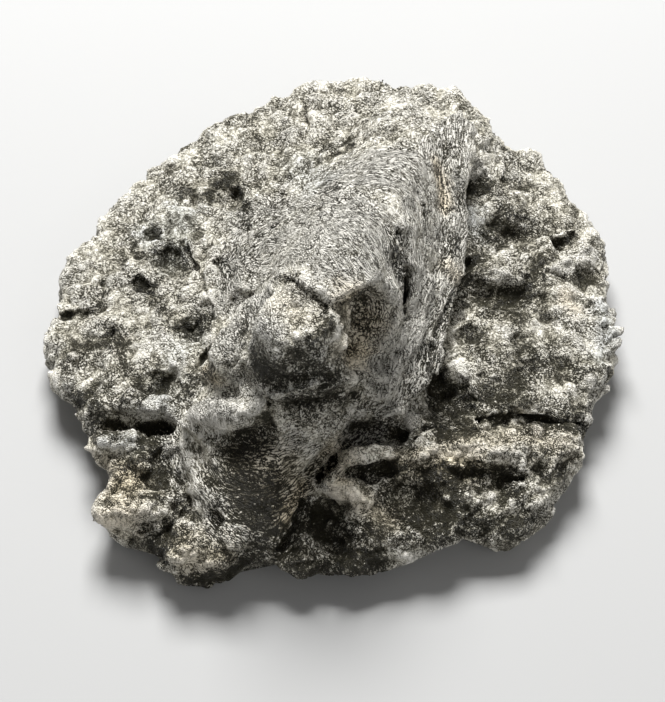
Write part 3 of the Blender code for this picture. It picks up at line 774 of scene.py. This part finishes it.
def add_crumbs(bone, material):
    """The bone with crumbs joined on, as one plain mesh."""
    maker = bone.modifiers.new("crumbs", "NODES")
    maker.node_group = crumb_tree(material)
    sockets = maker.node_group.interface.items_tree
    named = {item.name: item.identifier for item in sockets if item.in_out == "INPUT"}
    maker[named["Crumb Size"]] = CRUMB_SIZE
    maker[named["Crumbs per Square Metre"]] = CRUMBS_PER_SQUARE_METRE
    maker[named["Seed"]] = SEED
    graph = bpy.context.evaluated_depsgraph_get()
    mesh = bpy.data.meshes.new_from_object(bone.evaluated_get(graph))
    bone.modifiers.remove(maker)
    return mesh


def fibre_field(points, tree):
    """At each point the way its fibres run, and how fibrous the bone is there, 0 to 1."""
    spread = np.zeros((len(points), 3, 3))
    share_of = np.zeros(len(points))
    for width, pixels in FIBRES:
        places = places_on(tree, pixels)
        radius = width / PIXELS_PER_MM
        gap, stretch = distance_to_line(points, places)
        near = np.flatnonzero(gap < 3 * radius)
        ways = np.diff(np.array(places), axis=0)
        ways /= np.linalg.norm(ways, axis=1)[:, None]
        way = ways[stretch[near]]
        weight = np.exp(-((gap[near] / (0.6 * radius)) ** 2)) + 1e-4
        spread[near] += weight[:, None, None] * way[:, :, None] * way[:, None, :]
        share_of[near] = np.maximum(share_of[near], 1 - np.clip(gap[near] / radius - 0.7, 0, 1))
    spread += np.eye(3) * 1e-7
    spread[:, 0, 0] += 1e-6
    ways = np.linalg.eigh(spread)[1][:, :, -1]
    ways *= np.sign(ways @ np.array([1.0, -0.3, 0.1]) + 1e-9)[:, None]
    return ways, share_of


def patches_at(points, tree, rows, wander):
    """At each point the sum of the patches that cover it."""
    total = np.zeros(len(points))
    for width, level, lines in rows:
        for pixels in lines:
            places = places_on(tree, pixels)
            if not places:
                continue
            share = distance_to_line(points, places)[0] * PIXELS_PER_MM / width
            near = np.flatnonzero(share < 4)
            total[near] += level * bump(share[near] * (1 + wander[near]) / 2)
    return total


def lumpy(points):
    """Height in mm of rounded lumps with sharp creases between them."""
    lumps = sum(height * (np.abs(noise_at(points, size, shift)) - CREASE) for height, size, shift in LUMPS)
    height, size, shift = SWELLS
    return lumps + height * noise_at(points, size, shift)


def thinned(bone, weights):
    """Gives the bone fewer faces, first where the weights are high and then all over."""
    group = bone.vertex_groups.new(name="less seen")
    for index in np.flatnonzero(weights > 0).tolist():
        group.add([index], float(weights[index]), "REPLACE")
    for where in (group.name, ""):
        bone.data.calc_loop_triangles()
        thin = bone.modifiers.new("larger faces", "DECIMATE")
        thin.ratio = min(1.0, MOST_TRIANGLES / len(bone.data.loop_triangles))
        thin.vertex_group = where
        thin.vertex_group_factor = 1000
        thin.use_collapse_triangulate = True
        graph = bpy.context.evaluated_depsgraph_get()
        mesh = bpy.data.meshes.new_from_object(bone.evaluated_get(graph))
        bone.modifiers.remove(thin)
        bone.data = mesh
    bone.vertex_groups.clear()


def drop_flaps(mesh):
    """Deletes the few flat flaps that thinning leaves standing on the closed surface."""
    work = bmesh.new()
    work.from_mesh(mesh)
    bmesh.ops.remove_doubles(work, verts=work.verts, dist=SAME_PLACE)
    on_corners = {}
    for face in work.faces:
        on_corners.setdefault(frozenset(vert.index for vert in face.verts), []).append(face)
    flaps = {face for faces in on_corners.values() if len(faces) > 1 for face in faces}
    flaps |= {face for face in work.faces if any(edge.is_boundary for edge in face.edges)}
    bmesh.ops.delete(work, geom=list(flaps), context="FACES")
    work.to_mesh(mesh)
    work.free()


def keep_above_floor(mesh):
    points = np.empty(len(mesh.vertices) * 3)
    mesh.vertices.foreach_get("co", points)
    points[2::3] = np.maximum(points[2::3], 0)
    mesh.vertices.foreach_set("co", points)
    mesh.update()


def make_bone(material):
    bone = bone_blank()
    points, quads = read_mesh(bone.data)
    wander = 0.5 * noise_at(points, 2.2) + 0.3 * noise_at(points, 0.9, 4.0)
    points = carve(points, quads, FOLDS, bump, wander)
    points = carve(points, quads, RIGHT_PITS + LEFT_PITS + KEEL_HOLLOWS, pit_shape, wander)
    write_points(bone.data, points)

    tree = tree_of(points, quads)
    _, fibrous = fibre_field(points, tree)
    out = np.hypot(points[:, 0], points[:, 1])
    top = np.clip((normals_of(points, quads)[:, 2] + 0.3) / 0.4, 0, 1)
    rim = np.clip((out - RIM_START) / RIM_WIDTH, 0, 1)
    patchy = np.clip(0.5 + 1.5 * noise_at(points, 5.0, 3.3), 0, 1)
    crumbly = top * (1 - fibrous) * (0.35 * patchy + 0.9 * rim)
    set_point_values(bone.data, "crumbly", crumbly)
    bone.data = add_crumbs(bone, material)
    bone.data = evened(bone, BONE_VOXEL)

    points, quads = read_mesh(bone.data)
    points = averaged(points, quads, 1)
    wander = 0.3 * noise_at(points, 1.6) + 0.2 * noise_at(points, 0.7, 4.0)
    points = carve(points, quads, CUTS, cut_shape, wander)
    normals = normals_of(points, quads)
    tree = tree_of(points, quads)
    ways, fibrous = fibre_field(points, tree)
    top = np.clip((normals[:, 2] + 0.3) / 0.4, 0, 1)
    rough = (0.4 + 0.6 * top) * (1 - 0.65 * fibrous)
    points = points + normals * (rough * lumpy(points))[:, None]
    points[:, 2] = np.maximum(points[:, 2], 0)
    write_points(bone.data, points)

    normals = normals_of(points, quads)
    # How deep each point lies in a hollow or how high on a ridge, for painted shade in hollows and painted
    # light on ridges.
    blurred = averaged(points, quads, FINE_EVENING)
    fine_hollow_shade = ((blurred - points) * normals).sum(1)
    broad = averaged(blurred, quads, BROAD_EVENING)
    broad_hollow_shade = ((broad - points) * normals).sum(1)
    set_point_values(bone.data, "fine_hollow_shade", np.clip(fine_hollow_shade, -0.3, 0.3))
    set_point_values(bone.data, "broad_hollow_shade", np.clip(broad_hollow_shade, -1.0, 1.0))
    set_point_values(bone.data, "fibre_way", ways)
    wander = 0.3 * noise_at(points, 1.2, 6.0) + 0.2 * noise_at(points, 0.6, 9.0)
    tree = tree_of(points, quads)
    # Darker and paler colour from the patches: mineral tone together with painted shade and painted light.
    dark_tone_and_shade = patches_at(points, tree, DARK_TONE_AND_SHADE_PATCHES, wander)
    pale_tone_and_light = patches_at(points, tree, PALE_TONE_AND_LIGHT_PATCHES, wander)
    set_point_values(bone.data, "tone_light_and_shade", np.clip(DARK_TONE_AND_SHADE_STRENGTH * dark_tone_and_shade + PALE_TONE_AND_LIGHT_STRENGTH * pale_tone_and_light, *TONE_LIGHT_AND_SHADE_LIMITS))
    set_point_values(bone.data, "warm", np.clip(patches_at(points, tree, WARM_PATCHES, wander), -1, 1))
    set_point_values(bone.data, "calm", np.clip(patches_at(points, tree, CALM_PATCHES, wander), 0, 1))
    level_share = np.clip((normals[:, 2] - 0.35) / 0.4, 0, 1)
    set_point_values(bone.data, "fibrous", fibrous * top * (0.55 + 0.45 * level_share))
    thinned(bone, np.clip(-normals[:, 2] - 0.1, 0, 1) ** 0.5)
    drop_flaps(bone.data)
    keep_above_floor(bone.data)
    bone.data.shade_smooth()
    return bone


class Nodes:
    """A material's node tree, with short ways to add to it."""

    def __init__(self, material):
        self.tree = material.node_tree

    def add(self, kind, inputs=None, **settings):
        node = self.tree.nodes.new(kind)
        for key, value in settings.items():
            setattr(node, key, value)
        for key, value in (inputs or {}).items():
            if isinstance(value, bpy.types.NodeSocket):
                self.tree.links.new(value, node.inputs[key])
            else:
                node.inputs[key].default_value = value
        return node

    def math(self, operation, a, b=0.0, c=0.0, clamp=False):
        return self.add("ShaderNodeMath", {0: a, 1: b, 2: c}, operation=operation, use_clamp=clamp).outputs[0]

    def scaled_and_added(self, vector, factor, other):
        inputs = {0: vector, 1: (factor, factor, factor), 2: other}
        return self.add("ShaderNodeVectorMath", inputs, operation="MULTIPLY_ADD").outputs[0]

    def value_of(self, name):
        return self.add("ShaderNodeAttribute", attribute_name=name).outputs["Fac"]

    def noise(self, place, scale, detail=2.0, roughness=0.5):
        inputs = {"Vector": place, "Scale": scale, "Detail": detail, "Roughness": roughness}
        return self.add("ShaderNodeTexNoise", inputs).outputs["Fac"]

    def ramp(self, value, stops):
        node = self.add("ShaderNodeValToRGB", {"Fac": value})
        points = node.color_ramp.elements
        while len(points) < len(stops):
            points.new(1.0)
        for point, (place, color) in zip(points, stops):
            point.position = place
            point.color = (*color, 1)
        return node.outputs["Color"]


def speckled_bone():
    """Mineralised bone: cream and grey flecks on near black, in streaks where the bone is fibrous, with
    painted shade and painted light in hollows, on ridges and in patches, and painted glints.
    """
    material = bpy.data.materials.new("speckled_bone")
    material.use_nodes = True
    nodes = Nodes(material)
    shader = material.node_tree.nodes["Principled BSDF"]
    shader.inputs["Roughness"].default_value = 0.5
    place = nodes.add("ShaderNodeTexCoord").outputs["Object"]
    way = nodes.add("ShaderNodeAttribute", attribute_name="fibre_way").outputs["Vector"]
    fibrous = nodes.value_of("fibrous")

    fine = nodes.math("MULTIPLY_ADD", nodes.noise(place, FINE_FLECKS, 1.0, 0.9), 3.2, -1.6)
    waving = {"Vector": place, "Scale": FIBRE_WAVES, "Detail": 1.0}
    waves = nodes.add("ShaderNodeTexNoise", waving).outputs["Color"]
    waves = nodes.add("ShaderNodeVectorMath", {0: waves, 1: (0.5, 0.5, 0.5)}, operation="SUBTRACT").outputs[0]
    way = nodes.scaled_and_added(waves, FIBRE_WAVINESS, way)
    total = None
    for step in FIBRE_STEPS:
        tap = nodes.noise(nodes.scaled_and_added(way, step * FIBRE_STEP, place), FIBRE_LINES, 1.5, 0.7)
        total = tap if total is None else nodes.math("ADD", total, tap)
    along = nodes.math("ABSOLUTE", nodes.math("MULTIPLY_ADD", total, 22.0 / len(FIBRE_STEPS), -11.0))
    every_way = nodes.noise(place, THIN_LINES, 2.0, 0.75)
    every_way = nodes.math("ABSOLUTE", nodes.math("MULTIPLY_ADD", every_way, 10.0, -5.0))
    fibre_share = nodes.math("MULTIPLY_ADD", fibrous, 4.0, -1.3, clamp=True)
    whole = nodes.add("ShaderNodeMix", {"Factor": fibre_share, "A": every_way, "B": along}).outputs["Result"]
    sharpness = nodes.math("MULTIPLY_ADD", fibrous, 0.2, 0.6)
    whole = nodes.math("POWER", nodes.math("MINIMUM", whole, 1.0), sharpness)
    lines = nodes.math("MULTIPLY_ADD", whole, nodes.math("MULTIPLY_ADD", fibrous, 1.1, 1.0), -0.8)
    lines = nodes.math("MULTIPLY_ADD", fibrous, -0.45, lines)
    grain = nodes.math("MULTIPLY_ADD", fine, nodes.math("MULTIPLY_ADD", fibrous, 0.1, 0.5), lines)
    worn = nodes.math("MULTIPLY_ADD", nodes.noise(place, WORN_PLACES, 2.0, 0.5), 3.2, -0.72)
    worn = nodes.math("MINIMUM", nodes.math("MAXIMUM", worn, 0.5), 1.25)
    grain = nodes.math("MULTIPLY", grain, nodes.math("MAXIMUM", worn, nodes.math("MULTIPLY", fibrous, 0.95)))
    # The patches' colour, mineral tone with painted shade and painted light, also sets how strong the grain
    # is.
    tone_light_and_shade = nodes.value_of("tone_light_and_shade")
    calm = nodes.value_of("calm")
    strength = nodes.math("MINIMUM", nodes.math("MULTIPLY", nodes.math("ABSOLUTE", tone_light_and_shade), 1.5), 0.36)
    strength = nodes.math("MULTIPLY_ADD", calm, -0.8, nodes.math("ADD", strength, 1.0))
    grain = nodes.math("MULTIPLY", grain, strength)
    blotches = nodes.math("MULTIPLY_ADD", nodes.noise(place, BLOTCHES, 4.0, 0.6), 1.4, -0.7)
    level = nodes.math("ADD", nodes.math("ADD", grain, 0.74), blotches)
    tufts = nodes.math("MULTIPLY_ADD", nodes.noise(place, CLUMPS, 3.0, 0.7), 2.6, -1.2)
    level = nodes.math("MULTIPLY_ADD", fibrous, tufts, level)
    # Painted shade and light: darker in fine and broad hollows, lighter on ridges.
    level = nodes.math("MULTIPLY_ADD", nodes.value_of("fine_hollow_shade"), -1.5, level)
    level = nodes.math("MULTIPLY_ADD", nodes.value_of("broad_hollow_shade"), -0.25, level)
    clumps = nodes.math("MULTIPLY_ADD", nodes.noise(place, CLUMPS, 3.0, 0.7), 2.4, -0.2)
    # Painted shade and light from the patches, broken up by clumps.
    level = nodes.math("MULTIPLY_ADD", tone_light_and_shade, clumps, level)
    level = nodes.math("MULTIPLY_ADD", calm, -0.06, level)
    # Painted glints: sparse pale specks added to the colour over the dark patches.
    glints = nodes.math("MULTIPLY_ADD", nodes.noise(place, GLINTS, 1.0, 0.5), 7.0, -4.3)
    on_dark = nodes.math("MAXIMUM", nodes.math("MULTIPLY", tone_light_and_shade, -1.0), 0.0)
    level = nodes.math("MULTIPLY_ADD", nodes.math("MAXIMUM", glints, 0.0), on_dark, level)
    level = nodes.math("MULTIPLY", level, 0.8)
    color = nodes.ramp(
        level,
        ((0.0, (0.0195, 0.0165, 0.005)), (0.224, (0.092, 0.083, 0.056)), (0.44, (0.28, 0.262, 0.205)),
         (0.64, (0.582, 0.55, 0.458)), (0.8, (0.80, 0.77, 0.68)), (1.0, (0.88, 0.85, 0.77))),
    )
    warm = nodes.value_of("warm")
    tint = nodes.ramp(
        nodes.math("MULTIPLY_ADD", warm, 0.5, 0.5),
        ((0.0, (0.93, 0.98, 1.06)), (0.5, (1.0, 1.0, 1.0)), (1.0, (1.06, 0.96, 0.80))),
    )
    tinted = nodes.add("ShaderNodeVectorMath", {0: color, 1: tint}, operation="MULTIPLY").outputs[0]
    material.node_tree.links.new(tinted, shader.inputs["Base Color"])
    height = nodes.math("ADD", grain, nodes.noise(place, ROUGHNESS_LUMPS, 4.0, 0.7))
    relief = nodes.add("ShaderNodeBump", {"Strength": 1.0, "Distance": 0.0002, "Height": height})
    material.node_tree.links.new(relief.outputs["Normal"], shader.inputs["Normal"])
    return material


def plain_material(name, color, roughness):
    material = bpy.data.materials.new(name)
    material.use_nodes = True
    shader = material.node_tree.nodes["Principled BSDF"]
    shader.inputs["Base Color"].default_value = (*color, 1)
    shader.inputs["Roughness"].default_value = roughness
    return material


def add_floor():
    mesh = bpy.data.meshes.new("studio_floor")
    half = 0.6
    corners = [(-half, -half, 0), (half, -half, 0), (half, half, 0), (-half, half, 0)]
    mesh.from_pydata(corners, [], [(0, 1, 2, 3)])
    mesh.materials.append(plain_material("pale_paper", (0.45, 0.45, 0.445), 0.9))
    floor = bpy.data.objects.new("studio_floor", mesh)
    bpy.context.scene.collection.objects.link(floor)


def add_light(name, place, size, power):
    lamp = bpy.data.lights.new(name, "AREA")
    lamp.size = size
    lamp.energy = power
    thing = bpy.data.objects.new(name, lamp)
    thing.location = place
    thing.rotation_euler = Vector(place).to_track_quat("Z", "Y").to_euler()
    bpy.context.scene.collection.objects.link(thing)


def add_studio():
    scene = bpy.context.scene
    scene.view_settings.view_transform = "Standard"
    world = bpy.data.worlds.new("studio")
    world.use_nodes = True
    world.node_tree.nodes["Background"].inputs["Color"].default_value = (1, 1, 1, 1)
    world.node_tree.nodes["Background"].inputs["Strength"].default_value = 0.16
    scene.world = world
    add_light("high_back_light", (-0.03, 0.28, 0.40), 0.22, 4.95)
    add_light("soft_front_light", (0.28, -0.42, 0.30), 0.5, 0.7)
    camera = bpy.data.cameras.new("camera")
    camera.lens = LENS
    camera.sensor_width = SENSOR
    camera.clip_start = 0.01
    eye = bpy.data.objects.new("camera", camera)
    eye.location = (AIM + TO_CAMERA * CAMERA_DISTANCE) * MM
    eye.rotation_euler = TO_CAMERA.to_track_quat("Z", "Y").to_euler()
    scene.collection.objects.link(eye)
    scene.camera = eye


def main():
    material = speckled_bone()
    bone = make_bone(material)
    bone.data.materials.clear()
    bone.data.materials.append(material)
    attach(bone, "root")
    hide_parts("scute")
    add_floor()
    add_studio()


main()
